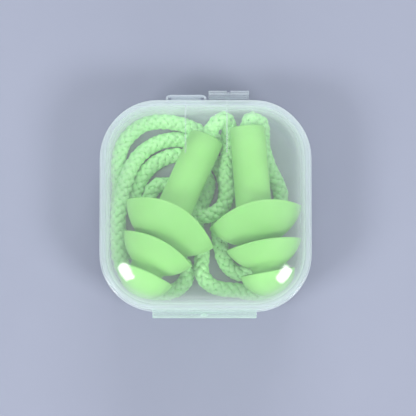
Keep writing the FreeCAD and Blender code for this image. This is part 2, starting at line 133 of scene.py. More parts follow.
# The route's points are part.py's, and some are moved to follow the photograph. FLOOR and
# SECOND are the heights of the cord's middle on the case's floor, and over other turns.
FLOOR = 2.0
SECOND = 4.2
ROUTE = [
    (1.8, 12.5, 5.95), (2.85, 12.85, 5.8), (3.5, 12.05, 5.0), (3.28, 10.6, 4.25),
    (3.36, 8.52, SECOND), (3.0, 6.3, SECOND), (2.9, 4.3, SECOND), (3.2, 2.3, SECOND),
    (2.7, 0.4, SECOND), (1.2, -0.9, SECOND),
    (-0.81, -1.41, SECOND), (-2.16, 0.19, 3.9), (-3.53, 1.96, 3.0), (-5.08, 3.29, 2.2),
    (-6.63, 3.81, FLOOR), (-7.94, 2.72, FLOOR), (-8.3, 1.3, FLOOR), (-8.5, 0.1, FLOOR),
    (-9.4, -0.45, FLOOR), (-10.3, 0.1, FLOOR), (-10.5, 1.3, FLOOR), (-10.25, 2.5, FLOOR),
    (-9.83, 3.6, FLOOR),
    (-8.96, 5.16, FLOOR), (-7.61, 6.54, FLOOR), (-5.99, 7.45, FLOOR), (-4.09, 8.0, FLOOR),
    (-2.18, 6.94, FLOOR), (-0.31, 5.34, FLOOR), (0.55, 3.67, FLOOR), (-0.21, 1.26, FLOOR),
    (-1.37, -0.68, FLOOR), (-1.4, -2.77, FLOOR), (-0.57, -4.75, FLOOR), (-0.45, -6.7, 2.3),
    (-0.71, -8.47, 3.1), (-0.38, -10.12, 3.6), (0.93, -11.33, 3.5), (2.69, -11.75, 3.1),
    (4.63, -11.79, 2.4), (6.6, -12.3, FLOOR), (8.7, -12.3, FLOOR), (10.7, -11.3, FLOOR),
    (11.5, -9.4, FLOOR), (10.5, -7.7, FLOOR), (8.5, -7.7, FLOOR), (6.7, -8.8, FLOOR),
    (4.8, -9.6, FLOOR), (3.2, -8.5, FLOOR), (2.35, -6.7, FLOOR), (2.1, -4.7, FLOOR),
    (1.7, -2.7, FLOOR),
    (2.05, -0.7, FLOOR), (2.8, 1.1, FLOOR), (3.0, 3.1, FLOOR), (2.6, 5.1, FLOOR), (1.4, 6.8, FLOOR),
    (-0.3, 8.1, FLOOR), (-1.63, 9.45, FLOOR), (-3.29, 10.14, FLOOR), (-4.96, 10.14, FLOOR),
    (-6.63, 9.81, FLOOR), (-8.23, 9.05, FLOOR), (-9.56, 7.92, 2.35), (-10.54, 6.53, 2.9),
    (-11.22, 5.04, 3.5), (-11.71, 3.35, 3.9), (-12.13, 1.8, SECOND), (-12.45, 0.09, SECOND),
    (-12.7, -2.4, SECOND), (-12.65, -4.7, SECOND), (-12.5, -7.0, 4.0), (-11.7, -9.2, 3.6),
    (-10.1, -11.2, 2.9), (-7.9, -12.35, 2.2), (-5.78, -12.27, FLOOR), (-4.09, -11.73, FLOOR),
    (-2.87, -10.57, FLOOR), (-2.46, -8.99, FLOOR), (-3.48, -7.54, FLOOR), (-5.18, -6.98, FLOOR),
    (-6.75, -7.13, FLOOR), (-10.4, -6.7, FLOOR), (-12.0, -5.3, FLOOR), (-12.7, -3.3, FLOOR),
    (-12.6, -1.2, FLOOR), (-12.7, 1.0, FLOOR), (-12.52, 3.09, FLOOR), (-12.74, 5.2, FLOOR),
    (-12.68, 7.3, FLOOR), (-12.16, 9.45, FLOOR), (-10.85, 11.09, FLOOR), (-9.2, 12.31, FLOOR),
    (-7.2, 12.76, FLOOR), (-5.1, 12.71, FLOOR), (-3.1, 12.26, FLOOR), (-1.3, 11.45, FLOOR),
    (0.5, 10.4, FLOOR), (2.4, 9.6, FLOOR), (4.2, 8.7, FLOOR), (5.4, 7.1, FLOOR), (5.7, 5.1, FLOOR),
    (5.8, 3.1, FLOOR), (6.1, 1.1, FLOOR), (7.2, -0.25, FLOOR), (9.15, -0.5, FLOOR),
    (10.75, 0.35, FLOOR), (11.06, 1.94, FLOOR), (10.43, 3.78, FLOOR), (9.51, 5.47, FLOOR),
    (8.73, 7.41, FLOOR), (8.24, 9.31, 2.4), (8.25, 10.7, 3.2), (8.2, 12.0, 4.2), (7.7, 12.5, 5.05),
]
# Where each stem ends, the way that its plug points, and how far the cord runs into the stem's bore
# and straight out of it.
STEM_END = {"left": Vector((0.17, 10.04, 5.5)), "right": Vector((5.95, 11.4, 7.0))}
TIP_TURN = {"left": -24.0, "right": 4.5}
TIP_RAISE = {"left": 10.0, "right": 4.0}
HELD = 1.2
LEAD = {"left": 1.4, "right": 1.45}
SPLINE_RESOLUTION = 12


def tip_direction(side):
    return heading(TIP_TURN[side], TIP_RAISE[side])


def full_route():
    """The route's points, from inside the left stem to inside the right one."""
    ends = []
    for side in ("left", "right"):
        inward = tip_direction(side)
        ends.append([STEM_END[side] + inward * HELD, STEM_END[side] - inward * LEAD[side]])
    return ends[0] + [Vector(p) for p in ROUTE] + ends[1][::-1]


def route_line():
    """Points along the route's NURBS spline, in millimetres."""
    curve = bpy.data.curves.new("cord_line", "CURVE")
    curve.dimensions = "3D"
    spline = curve.splines.new("NURBS")
    points = full_route()
    spline.points.add(len(points) - 1)
    for slot, point in zip(spline.points, points):
        slot.co = (point.x, point.y, point.z, 1.0)
    spline.order_u = 3
    spline.use_endpoint_u = True
    spline.resolution_u = SPLINE_RESOLUTION
    holder = bpy.data.objects.new("cord_line", curve)
    bpy.context.scene.collection.objects.link(holder)
    bpy.context.view_layer.update()
    mesh = bpy.data.meshes.new_from_object(holder)
    line = [v.co.copy() for v in mesh.vertices]
    bpy.data.meshes.remove(mesh)
    bpy.data.objects.remove(holder)
    bpy.data.curves.remove(curve)
    return line


def resample(line, step):
    """Points at equal steps along a line, and its length."""
    marks = [0.0]
    for a, b in zip(line, line[1:]):
        marks.append(marks[-1] + (b - a).length)
    total = marks[-1]
    count = max(2, round(total / step))
    points = []
    at = 0
    for i in range(count + 1):
        want = total * i / count
        while at < len(marks) - 2 and marks[at + 1] < want:
            at += 1
        span = marks[at + 1] - marks[at] or 1.0
        points.append(line[at].lerp(line[at + 1], (want - marks[at]) / span))
    return points, total


# The braid: its yarns, the length of one turn of a yarn, a yarn's half width and half thickness,
# and how far its middle is from the cord's middle, with how far it weaves and strays from that.
CARRIERS = 8
LAY = 5.0
YARN_WIDE = 0.41
YARN_THICK = 0.26
YARN_SIDES = 8
YARN_OUT = 0.78
YARN_WEAVE = 0.14
YARN_STRAY = 0.04
BRAID_STEP = 0.22
CORE_OUT = 0.66
CORE_SIDES = 10
CORE_SLOT = 1


def yarn_path(carrier, line, frames, step):
    """(middle, outward direction) of a yarn at each point of the cord's line.

    It strays by two slow waves whose lengths differ, so that no two turns are quite alike.
    """
    way = 1 if carrier % 2 else -1
    start = 2 * math.pi * (carrier // 2) / (CARRIERS // 2)
    turn_rate = 2 * math.pi / LAY
    path = []
    for i, (point, (side, up)) in enumerate(zip(line, frames)):
        along = i * step
        angle = start + way * turn_rate * along
        weave = way * math.cos(CARRIERS / 2 * turn_rate * along)
        stray = math.sin(0.83 * along + 2.1 * carrier) * math.sin(0.37 * along + carrier)
        radius = YARN_OUT + YARN_WEAVE * weave + YARN_STRAY * stray
        out = side * math.cos(angle) + up * math.sin(angle)
        path.append((point + out * radius, out))
    return path


def yarn_rings(bm, path):
    """A flat oval of vertices round each point of a yarn's path."""
    rings = []
    for i, (centre, out) in enumerate(path):
        ahead = path[min(i + 1, len(path) - 1)][0]
        behind = path[max(i - 1, 0)][0]
        run = (ahead - behind).normalized()
        across = run.cross(out).normalized()
        lift = across.cross(run)
        ring = []
        for k in range(YARN_SIDES):
            a = 2 * math.pi * k / YARN_SIDES
            shift = across * (math.cos(a) * YARN_WIDE) + lift * (math.sin(a) * YARN_THICK)
            ring.append(bm.verts.new((centre + shift) * MM))
        rings.append(ring)
    return rings


def braid_mesh(bm, line, total):
    """Eight flat yarns, four each way round, that pass over and under one another."""
    uv = bm.loops.layers.uv.new("UVMap")
    frames = steady_frames(line)
    step = total / (len(line) - 1)
    for carrier in range(CARRIERS):
        rings = yarn_rings(bm, yarn_path(carrier, line, frames, step))
        for i, (near, far) in enumerate(zip(rings, rings[1:])):
            us = (i * step, i * step, (i + 1) * step, (i + 1) * step)
            for k in range(YARN_SIDES):
                j = (k + 1) % YARN_SIDES
                face = bm.faces.new((near[k], near[j], far[j], far[k]))
                for loop, u, v in zip(face.loops, us, (k, k + 1, k + 1, k)):
                    loop[uv].uv = (u, v / YARN_SIDES + carrier)
        cap(bm, rings)


def make_cord():
    line, total = resample(route_line(), BRAID_STEP)
    bm = bmesh.new()
    braid_mesh(bm, line, total)
    yarn_faces = len(bm.faces)
    tube(bm, line, CORE_OUT, CORE_SIDES, every=2)
    bm.faces.ensure_lookup_table()
    for face in bm.faces[yarn_faces:]:
        face.material_index = CORE_SLOT
    cord = new_object("braided_cord", bm)
    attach(cord, "base")
    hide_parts("cord_run")
    return cord


cord = make_cord()

# ---------------------------------------------------------------- plugs

# RIM_AT is where the three flanges' rims are along the plug's axis, from the stem's end, and
# DOME_RADIUS is the radius of each flange's sphere.
STEM_RADIUS = 2.55
CORE_RADIUS = 2.2
STEM_ROUND = 0.3
STEM_RUN = 11.0
STEM_STEPS = 11
BORE_RADIUS = 1.1
BORE_DEEP = 3.2
RIM_AT = (13.65, 17.5, 21.4)
FLANGE_RADIUS = (6.85, 5.35, 4.0)
DOME_RADIUS = (7.9, 5.85, 4.05)
FLANGE_THICK = 0.95
LIP = 0.34
ROOT_ROUND = 0.35
UNDER_STEPS = 12
DOME_STEPS = 16
PLUG_SEGMENTS = 96

# Where each soft flange has settled: its rim's middle along and beside its plug's axis and above
# it, its radius, the way that it faces, in plan and above level, and how far its upper lip has
# folded back towards the stem, and its lower lip the other way.
SETTLED = {
    "left": (
        (13.9, 0.31, 0.0, 7.03, -28.5, 0.0, 2.45, 1.2),
        (17.8, 0.21, -0.25, 5.43, -27.2, -1.0, 1.15, 0.7),
        (21.8, 0.16, -0.6, 4.03, -23.5, -2.0, 0.45, 0.3),
    ),
    "right": (
        (13.23, 0.16, 0.0, 6.76, 13.6, 0.0, 1.95, 0.5),
        (17.16, 1.0, -0.1, 5.36, 9.6, -1.0, 0.6, 0.3),
        (21.06, 1.22, -0.3, 3.92, 10.0, -3.0, 0.14, 0.0),
    ),
}
FOLD_SHORTENS = 0.67


def axes_along(direction):
    side = Vector((-direction.y, direction.x, 0)).normalized()
    return side, direction.cross(side)


def stem_profile():
    """(along, out, settled) from the bottom of the bore, over the stem's end and along the stem."""
    profile = [(BORE_DEEP, 0.0, 0.0), (BORE_DEEP, BORE_RADIUS * 0.9, 0.0)]
    profile += [(BORE_DEEP - 0.1, BORE_RADIUS, 0.0), (BORE_DEEP / 2, BORE_RADIUS, 0.0)]
    profile += [(0.2, BORE_RADIUS, 0.0), (0.06, BORE_RADIUS + 0.06, 0.0)]
    profile += [(0.0, BORE_RADIUS + 0.2, 0.0), (0.0, STEM_RADIUS - STEM_ROUND, 0.0)]
    for i in range(1, 5):
        a = math.radians(90 * i / 4)
        along = STEM_ROUND - STEM_ROUND * math.cos(a)
        profile.append((along, STEM_RADIUS - STEM_ROUND + STEM_ROUND * math.sin(a), 0.0))
    for i in range(1, STEM_STEPS + 1):
        profile.append((STEM_ROUND + STEM_RUN * i / STEM_STEPS, STEM_RADIUS, 0.0))
    return profile


def flange_profile(number):
    """(along, out, settled) from a flange's root, along its underside, round its lip and back."""
    rim, radius, dome = RIM_AT[number], FLANGE_RADIUS[number], DOME_RADIUS[number]
    middle = rim - math.sqrt(dome ** 2 - radius ** 2)
    root = CORE_RADIUS if number else STEM_RADIUS
    spread = math.degrees(math.asin(radius / dome))
    inner = dome - FLANGE_THICK
    root_angle = math.degrees(math.asin((root + ROOT_ROUND) / inner))
    root_at = middle + inner * math.cos(math.radians(root_angle))
    profile = [(root_at - 1.1, root, number - 0.6) if number else (root_at - 1.0, root, 0.05)]
    profile.append((root_at - 0.45, root + 0.02, number + 0.12))
    profile.append((root_at - 0.12, root + 0.14, number + 0.2))
    for i in range(UNDER_STEPS + 1):
        t = i / UNDER_STEPS
        angle = math.radians(root_angle + (spread - 1.2 - root_angle) * t)
        under = inner + (FLANGE_THICK - LIP) * t ** 1.3
        settled = number + min(1.0, 0.3 + 1.1 * t)
        profile.append((middle + under * math.cos(angle), under * math.sin(angle), settled))
    edge = math.radians(spread)
    lip_along = middle + (dome - LIP / 2) * math.cos(edge)
    lip_out = (dome - LIP / 2) * math.sin(edge)
    for i in range(1, 6):
        a = edge + math.pi - math.pi * i / 6
        profile.append((lip_along + LIP / 2 * math.cos(a), lip_out + LIP / 2 * math.sin(a),
                        number + 1.0))
    last = 0.0 if number == 2 else math.degrees(math.asin((CORE_RADIUS + 0.3) / dome))
    for i in range(DOME_STEPS + 1):
        angle = math.radians(spread + (last - spread) * i / DOME_STEPS)
        profile.append((middle + dome * math.cos(angle), dome * math.sin(angle), number + 1.0))
    return profile


def plug_profile():
    """(along, out, settled) from the bottom of the bore to the tip.

    settled says which frames of settled_point a ring follows: 0.3 is between frames 0 and 1.
    """
    return stem_profile() + [point for number in range(3) for point in flange_profile(number)]


def settled_point(side, along, side_out, up_out, index):
    """The place of a point of the straight plug in frame 0, its stem's, or 1 to 3, its flanges'."""
    stem = tip_direction(side)
    across, above = axes_along(stem)
    if index == 0:
        return STEM_END[side] + stem * along + across * side_out + above * up_out
    rim_at, beside, raised, radius, turn, lift, fold, under = SETTLED[side][index - 1]
    middle = STEM_END[side] + stem * rim_at + across * beside + above * raised
    direction = heading(turn, lift)
    across, above = axes_along(direction)
    grow = radius / FLANGE_RADIUS[index - 1]
    share = up_out / FLANGE_RADIUS[index - 1]
    folded = (fold if share > 0 else -under) * share ** 2
    local = direction * ((along - RIM_AT[index - 1]) * grow - folded)
    squash = 1 / (1 + FOLD_SHORTENS * (fold / radius) ** 2)
    return middle + local + across * (side_out * grow) + above * (up_out * grow * squash)


def make_plug(side):
    bm = bmesh.new()
    rings = []
    for along, out, settled in plug_profile():
        low = min(int(settled), 3)
        high = min(low + 1, 3)
        share = settled - low
        share = share * share * (3 - 2 * share)
        ring = []
        for k in range(PLUG_SEGMENTS if out > 1e-6 else 1):
            a = 2 * math.pi * k / PLUG_SEGMENTS
            side_out = out * math.cos(a)
            up_out = out * math.sin(a)
            first = settled_point(side, along, side_out, up_out, low)
            second = settled_point(side, along, side_out, up_out, high)
            ring.append(bm.verts.new(first.lerp(second, share) * MM))
        rings.append(ring)
    for first, second in zip(rings, rings[1:]):
        if len(first) == 1:
            for k in range(PLUG_SEGMENTS):
                bm.faces.new((first[0], second[k], second[(k + 1) % PLUG_SEGMENTS]))
        elif len(second) == 1:
            for k in range(PLUG_SEGMENTS):
                bm.faces.new((first[k], second[0], first[(k + 1) % PLUG_SEGMENTS]))
        else:
            bridge(bm, first, second)
    plug = new_object("soft_plug_" + side, bm)
    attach(plug, "base")
    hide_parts("plug_" + side)
    return plug


plugs = [make_plug("left"), make_plug("right")]

# ---------------------------------------------------------------- case

# Stations are (inset from BODY_HALF, height). BAND is the base's rim band and LAP its inner lap
# lip, from outside to inside. REBATE is the lid's rim, which the lap lip stands in.
BAND_FOOT = 8.2
BAND = [(-0.1, 8.21), (-0.21, 8.25), (-0.25, 8.34), (-0.25, 9.3), (-0.21, 9.42), (-0.14, 9.48),
        (0.0, 9.5)]
LAP = [(0.40, 9.5), (0.43, 9.52), (0.44, 9.6), (0.45, 10.36), (0.5, 10.46), (0.58, 10.5),
       (0.68, 10.46), (0.74, 10.36), (0.75, 9.5)]
REBATE = [(0.02, 9.75), (0.02, 9.6), (0.08, 9.54), (0.3, 9.54), (0.35, 9.58), (0.35, 10.5),
          (0.4, 10.58), (0.76, 10.6), (0.79, 10.66)]
FOOT_ROUND = 1.9
FLOOR_ROUND = 0.9
PILLOW_RADIUS = 14.0
EDGE_RADIUS = 3.2
EDGE_START = 19.0
TOP_INSETS = (11.5, 9.3)
INSIDE_SHARPER = 0.6
TOP_CORNER_SHARE = 0.35
CORNER_STEPS = 14

# The hinge's bars, claws and rib, round its axis at HINGE_Y and PARTING. On the left the lid's
# bent bar lies in the base's cradle, and on the right the lid's claws hold the base's bar.
SIDE_GAP = 0.15
LEFT_START = HINGE_MIDDLE - HINGE_HALF
RIGHT_START = HINGE_MIDDLE + SIDE_GAP
SIDE_LONG = HINGE_HALF - SIDE_GAP
ROOT_Y = 14.375
BAR = 0.35
HOOK_IN = 0.4
HOOK_OUT = 0.75
LUG = 0.55
RIB_FROM = 2.68
RIB_TO = 3.02
RIB_GAP = 0.08
CRADLE_IN = 0.36
CRADLE_OUT = 0.66
CRADLE_SHORT = 0.8
WIRE = 0.17
WIRE_SIDES = 14
WIRE_RISE = 0.38
WIRE_BACK = 0.3
CORNER_BEND = 0.75
EDGE_ROUND = 0.05

# The base's rim band is lowered to BAND_CUT over the claws' length.
BAND_LEFT = RIGHT_START - 0.1
BAND_RIGHT = RIGHT_START + SIDE_LONG + 0.1
BAND_CUT = 14.78
BAND_EASE = 0.2
BACK_WALL = 14.7

TAB_LEFT, TAB_RIGHT = -7.45, 7.15
TAB_IN = -15.1
TAB_OUT = -15.85
TAB_ROOT = -14.45
TAB_LOW = 6.9
TAB_TOP = 10.6
TAB_BEND = 0.5
BEAD_MIDDLE = -0.15
BEAD_HALF = 2.4
GATE_X, GATE_Y, GATE_FOOT = -0.2, -15.45, 10.58
GATE_WIDE, GATE_DEEP, GATE_HIGH = 0.5, 0.2, 0.14

WITNESS_LEFT, WITNESS_RIGHT = -2.77, 2.95
WITNESS_FRONT, WITNESS_BACK = 6.95, 14.3
WITNESS_WIDE = 0.09
WITNESS_HIGH = 0.05
WITNESS_SUNK = 0.08
WITNESS_STEPS = 40

SHARP_FROM = 40


def rounded_square(half, radius, height):
    points = []
    inner = half - radius
    for corner, (sx, sy) in enumerate(((1, -1), (1, 1), (-1, 1), (-1, -1))):
        for k in range(CORNER_STEPS + 1):
            a = math.radians(90 * corner - 90 + 90 * k / CORNER_STEPS)
            points.append((sx * inner + radius * math.cos(a), sy * inner + radius * math.sin(a),
                           height))
    return points


def shell(bm, stations):
    """A closed shell from one flat middle to the other."""
    loops = []
    for inset, height in stations:
        half = BODY_HALF - inset
        radius = max(CORNER - inset, TOP_CORNER_SHARE * half)
        loops.append(rounded_square(half, radius, height))
    cap(bm, skin(bm, loops))


def quarter(count):
    """Sines and cosines of a quarter turn in equal steps."""
    for i in range(count + 1):
        a = math.radians(90 * i / count)
        yield math.sin(a), math.cos(a)


def base_stations():
    """From the middle of the underside, up the outside, over the rim and down to the floor."""
    foot = PARTING * BASE_DRAFT
    band_foot = (PARTING - BAND_FOOT) * BASE_DRAFT
    floor = WALL + (PARTING - PLATE) * BASE_DRAFT
    stations = [(foot + 6.0, 0.0), (foot + 3.0, 0.0)]
    stations += [(foot + FOOT_ROUND * (1 - s), FOOT_ROUND * (1 - c)) for s, c in quarter(8)]
    stations += [(band_foot, BAND_FOOT - 0.2), (band_foot - 0.05, BAND_FOOT)] + BAND + LAP
    stations += [(floor + FLOOR_ROUND * (1 - c), PLATE + FLOOR_ROUND * (1 - s))
                 for s, c in quarter(7)]
    return stations + [(floor + 3.0, PLATE), (floor + 6.0, PLATE)]


def rollover(inset, top, edge_radius):
    """From the flat of the lid's top down to its wall: a slow curve, then a quick one."""
    found = []
    for i in range(9):
        a = math.radians(EDGE_START * i / 8)
        found.append((PILLOW_RADIUS * math.sin(a), top - PILLOW_RADIUS * (1 - math.cos(a))))
    out, high = found[-1]
    start = math.radians(EDGE_START)
    for i in range(1, 13):
        a = start + (math.radians(90) - start) * i / 12
        found.append((out + edge_radius * (math.sin(a) - math.sin(start)),
                      high - edge_radius * (math.cos(start) - math.cos(a))))
    reach, low = found[-1]
    edge = inset + (low - PARTING) * LID_DRAFT
    return [(edge + reach - x, z) for x, z in found]


def lid_outside():
    """The lid's top is slightly pillowed, and rolls over into its walls."""
    return [(inset, TOP) for inset in TOP_INSETS] + rollover(0.0, TOP, EDGE_RADIUS)


def lid_stations():
    """From the middle of the top, down the outside, round the rim and up to the top's inside."""
    inside = rollover(WALL, TOP - PLATE, EDGE_RADIUS - INSIDE_SHARPER)[::-1]
    inside += [(inset, TOP - PLATE) for inset in TOP_INSETS[::-1]]
    return lid_outside() + REBATE + inside


def prism_x(bm, outline, start, end, bevel):
    """Extrudes a (y, z) outline along x, with small round edges."""
    first = [bm.verts.new((start * MM, y * MM, z * MM)) for y, z in outline]
    second = [bm.verts.new((end * MM, y * MM, z * MM)) for y, z in outline]
    ends = [e for face in (bm.faces.new(first), bm.faces.new(second[::-1])) for e in face.edges]
    bridge(bm, first[::-1], second[::-1])
    # The bevel cuts a hollow edge the wrong way if the new faces have no normals yet.
    bm.normal_update()
    bmesh.ops.bevel(bm, geom=ends, offset=bevel * MM, segments=2, affect="EDGES",
                    clamp_overlap=True)


def ring_arc(radius, start, end, count):
    """(y, z) points round the hinge's axis, angles from +Y towards +Z."""
    found = []
    for i in range(count + 1):
        a = math.radians(start + (end - start) * i / count)
        found.append((HINGE_Y + radius * math.cos(a), PARTING + radius * math.sin(a)))
    return found


def wire_loop(bm):
    """The lid's bar on the left: thin, with bent ends that run into the lid's wall."""
    left, right = LEFT_START + WIRE, LEFT_START + SIDE_LONG - WIRE
    path = [Vector((left, y, PARTING + WIRE_RISE)) for y in (ROOT_Y + 0.1, 14.8)]
    path.append(Vector((left, 15.15, PARTING + WIRE_RISE * 0.8)))
    for s, c in quarter(6):
        path.append(Vector((left + CORNER_BEND * (1 - c), HINGE_Y - WIRE_BACK + WIRE_BACK * s,
                            PARTING + WIRE_RISE * 0.4 * c)))
    path += [Vector((left + right - p.x, p.y, p.z)) for p in path[::-1]]
    tube(bm, path, WIRE, WIRE_SIDES)


def claw(bm, start, end, bevel):
    """The lid's claw, from its wall round the base's bar."""
    meet = math.degrees(math.asin(HOOK_IN / HOOK_OUT))
    outline = [(ROOT_Y, PARTING - HOOK_OUT)] + ring_arc(HOOK_OUT, -90, 90, 16)
    outline += ring_arc(HOOK_IN, 90, -180, 20)
    outline += ring_arc(HOOK_OUT, 180, 180 + meet, 5) + [(ROOT_Y, PARTING - HOOK_IN)]
    prism_x(bm, [(y, 2 * PARTING - z) for y, z in outline][::-1], start, end, bevel)


def lid_hinge_parts(bm):
    """A bent bar on the left and two claws on the right."""
    wire_loop(bm)
    claw(bm, RIGHT_START, RIGHT_START + RIB_FROM - RIB_GAP, 0.06)
    claw(bm, RIGHT_START + RIB_TO + RIB_GAP, RIGHT_START + SIDE_LONG, 0.16)


def base_hinge_parts(bm):
    """A straight bar on one rib for the lid's claws, and a cradle under the lid's bent bar."""
    prism_x(bm, ring_arc(BAR, 0, 345, 23), RIGHT_START + 0.04, RIGHT_START + SIDE_LONG - 0.3,
            EDGE_ROUND)
    rib = [(ROOT_Y, PARTING - LUG)] + ring_arc(LUG, -90, 185, 22) + [(ROOT_Y, PARTING - 0.05)]
    prism_x(bm, rib, RIGHT_START + RIB_FROM, RIGHT_START + RIB_TO, EDGE_ROUND)
    cradle = [(ROOT_Y, PARTING - CRADLE_OUT)] + ring_arc(CRADLE_OUT, -90, -70, 4)
    cradle += ring_arc(CRADLE_IN, -70, -165, 10) + [(ROOT_Y, PARTING - CRADLE_IN)]
    prism_x(bm, cradle, LEFT_START + CRADLE_SHORT, LEFT_START + SIDE_LONG - CRADLE_SHORT,
            EDGE_ROUND)


def latch_parts(bm):
    """A lipped tab down the front, with a bead in the middle of its back and a gate mark on top."""
    bend_from = TAB_TOP - TAB_BEND
    outline = [(TAB_ROOT, 9.55), (TAB_IN - 0.02, 9.55), (TAB_IN, 9.5), (TAB_IN, 7.0),
               (TAB_IN - 0.1, TAB_LOW), (TAB_OUT + 0.25, TAB_LOW), (TAB_OUT + 0.08, 6.98),
               (TAB_OUT, 7.15), (TAB_OUT, bend_from)]
    for s, c in list(quarter(6))[1:-1]:
        outline.append((TAB_OUT + TAB_BEND * (1 - c), bend_from + TAB_BEND * s))
    outline += [(TAB_OUT + TAB_BEND, TAB_TOP), (TAB_ROOT, TAB_TOP)]
    prism_x(bm, outline, TAB_LEFT, TAB_RIGHT, 0.1)
    bead = [(TAB_IN - 0.1, 7.45), (TAB_IN + 0.03, 7.5), (TAB_IN + 0.05, 7.8), (TAB_IN + 0.05, 8.1),
            (TAB_IN - 0.1, 8.15)]
    prism_x(bm, bead, BEAD_MIDDLE - BEAD_HALF, BEAD_MIDDLE + BEAD_HALF, 0.02)
    angles = [2 * math.pi * k / 20 for k in range(20)]
    rings = []
    for s, c in list(quarter(5))[:-1]:
        rings.append([(GATE_X + GATE_WIDE * c * math.cos(a), GATE_Y + GATE_DEEP * c * math.sin(a),
                       GATE_FOOT + GATE_HIGH * s) for a in angles])
    cap(bm, skin(bm, rings))


def inset_at(x, y):
    """How far a point is inside the body's rounded outline, seen from above."""
    corner = BODY_HALF - CORNER
    if abs(x) > corner and abs(y) > corner:
        return CORNER - math.hypot(abs(x) - corner, abs(y) - corner)
    return BODY_HALF - max(abs(x), abs(y))


def lid_height(x, y):
    """How high the lid's outer skin is at a point of its top."""
    inset = inset_at(x, y)
    profile = lid_outside()
    for (i0, z0), (i1, z1) in zip(profile, profile[1:]):
        if i1 <= inset <= i0:
            return z0 + (z1 - z0) * (i0 - inset) / max(i0 - i1, 1e-6)
    return TOP


def witness_line(bm, path):
    """A thin raised line on the lid's top, left by an insert in its mould."""
    section = ((-WITNESS_WIDE, -WITNESS_SUNK), (-WITNESS_WIDE * 0.6, WITNESS_HIGH),
               (WITNESS_WIDE * 0.6, WITNESS_HIGH), (WITNESS_WIDE, -WITNESS_SUNK))
    rings = []
    for i, (x, y) in enumerate(path):
        ahead = path[min(i + 1, len(path) - 1)]
        behind = path[max(i - 1, 0)]
        run = Vector((ahead[0] - behind[0], ahead[1] - behind[1], 0)).normalized()
        across = Vector((-run.y, run.x, 0))
        base = Vector((x, y, lid_height(x, y)))
        rings.append([bm.verts.new((base + across * shift + Vector((0, 0, lift))) * MM)
                      for shift, lift in section])
    for first, second in zip(rings, rings[1:]):
        bridge(bm, first, second)
    cap(bm, rings)


def make_room(bm):
    """Lowers the base's rim band behind the lid's claws, so that the open lid's claws miss it."""
    for x in (BAND_LEFT - BAND_EASE, BAND_LEFT, BAND_RIGHT, BAND_RIGHT + BAND_EASE):
        band = [f for f in bm.faces if min(v.co.y for v in f.verts) > BACK_WALL * MM]
        parts = list({part for f in band for part in (*f.verts, *f.edges)}) + band
        bmesh.ops.bisect_plane(bm, geom=parts, dist=1e-8, plane_co=(x * MM, 0, 0),
                               plane_no=(1, 0, 0))
    for v in bm.verts:
        if BAND_LEFT - 0.01 < v.co.x / MM < BAND_RIGHT + 0.01 and v.co.y > BAND_CUT * MM:
            v.co.y = BAND_CUT * MM


WALLS, CLAW, LATCH, RIM = range(4)


def plastic_slot(middle, above):
    """Which of the case's plastics a face has, from where its middle is."""
    x, y, z = middle / MM
    if y > RIM_HALF + 0.02:
        return RIM if above and x < HINGE_MIDDLE else CLAW
    if above and y < -BODY_HALF - 0.12:
        return LATCH
    if not above and z > BAND_FOOT and inset_at(x, y) < -0.05:
        return RIM
    return WALLS


def make_case(name, node, body, bm):
    """Ends a half of the case: it is above the parting if it rides on the lid."""
    for face in bm.faces:
        face.material_index = plastic_slot(face.calc_center_median(), body == "lid")
    case = new_object(name, bm)
    case.data.set_sharp_from_angle(angle=math.radians(SHARP_FROM))
    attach(case, body)
    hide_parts(node)
    return case


def make_base():
    bm = bmesh.new()
    shell(bm, base_stations())
    make_room(bm)
    base_hinge_parts(bm)
    return make_case("clear_base", "case_base", "base", bm)


def make_lid():
    bm = bmesh.new()
    shell(bm, lid_stations())
    lid_hinge_parts(bm)
    latch_parts(bm)
    return make_case("clear_lid", "case_lid", "lid", bm)


def make_witness():
    bm = bmesh.new()
    long = WITNESS_BACK - WITNESS_FRONT
    steps = [long * i / WITNESS_STEPS for i in range(WITNESS_STEPS + 1)]
    witness_line(bm, [(WITNESS_LEFT, WITNESS_BACK - step) for step in steps])
    witness_line(bm, [(WITNESS_RIGHT, WITNESS_FRONT + step) for step in steps])
    mark = new_object("lid_witness", bm)
    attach(mark, "lid")
    return mark


base_shell = make_base()
lid_shell = make_lid()
witness = make_witness()

# ---------------------------------------------------------------- materials

# Lengths in shaders are in metres, and a noise has its scale in lumps a metre, apart from the
# braid's filaments, which follow its UV map, in millimetres along the yarn.


def new_material(name):
    material = bpy.data.materials.new(name)
    material.use_nodes = True
    material.node_tree.nodes.clear()
    return material, material.node_tree


def node(tree, kind, **values):
    """A new node. A value named in_Some_Socket is set on that socket, and others on the node."""
    made = tree.nodes.new(kind)
    for key, value in values.items():
        if key.startswith("in_"):
            made.inputs[key[3:].replace("_", " ")].default_value = value
        else:
            setattr(made, key, value)
    return made


def link(tree, out_node, out_name, in_node, in_name):
    tree.links.new(out_node.outputs[out_name], in_node.inputs[in_name])


def noise(tree, scale, detail, rough, coords=None):
    """Noise in object coordinates, or in those of a (node, output name) pair."""
    if coords is None:
        coords = (node(tree, "ShaderNodeTexCoord"), "Object")
    made = node(tree, "ShaderNodeTexNoise", in_Scale=scale, in_Detail=detail, in_Roughness=rough)
    link(tree, coords[0], coords[1], made, "Vector")
    return made


def ramp(tree, source, low, high):
    """Turns a noise into a colour: low and high are (place, colour) ends of the ramp."""
    made = node(tree, "ShaderNodeValToRGB")
    for end, (place, colour) in zip(made.color_ramp.elements, (low, high)):
        end.position = place
        end.color = (*colour, 1.0)
    link(tree, source, "Fac", made, "Fac")
    return made


def add_bump(tree, source, shader, strength, distance):
    bump = node(tree, "ShaderNodeBump", in_Strength=strength, in_Distance=distance)
    link(tree, source, "Fac", bump, "Height")
    link(tree, bump, "Normal", shader, "Normal")


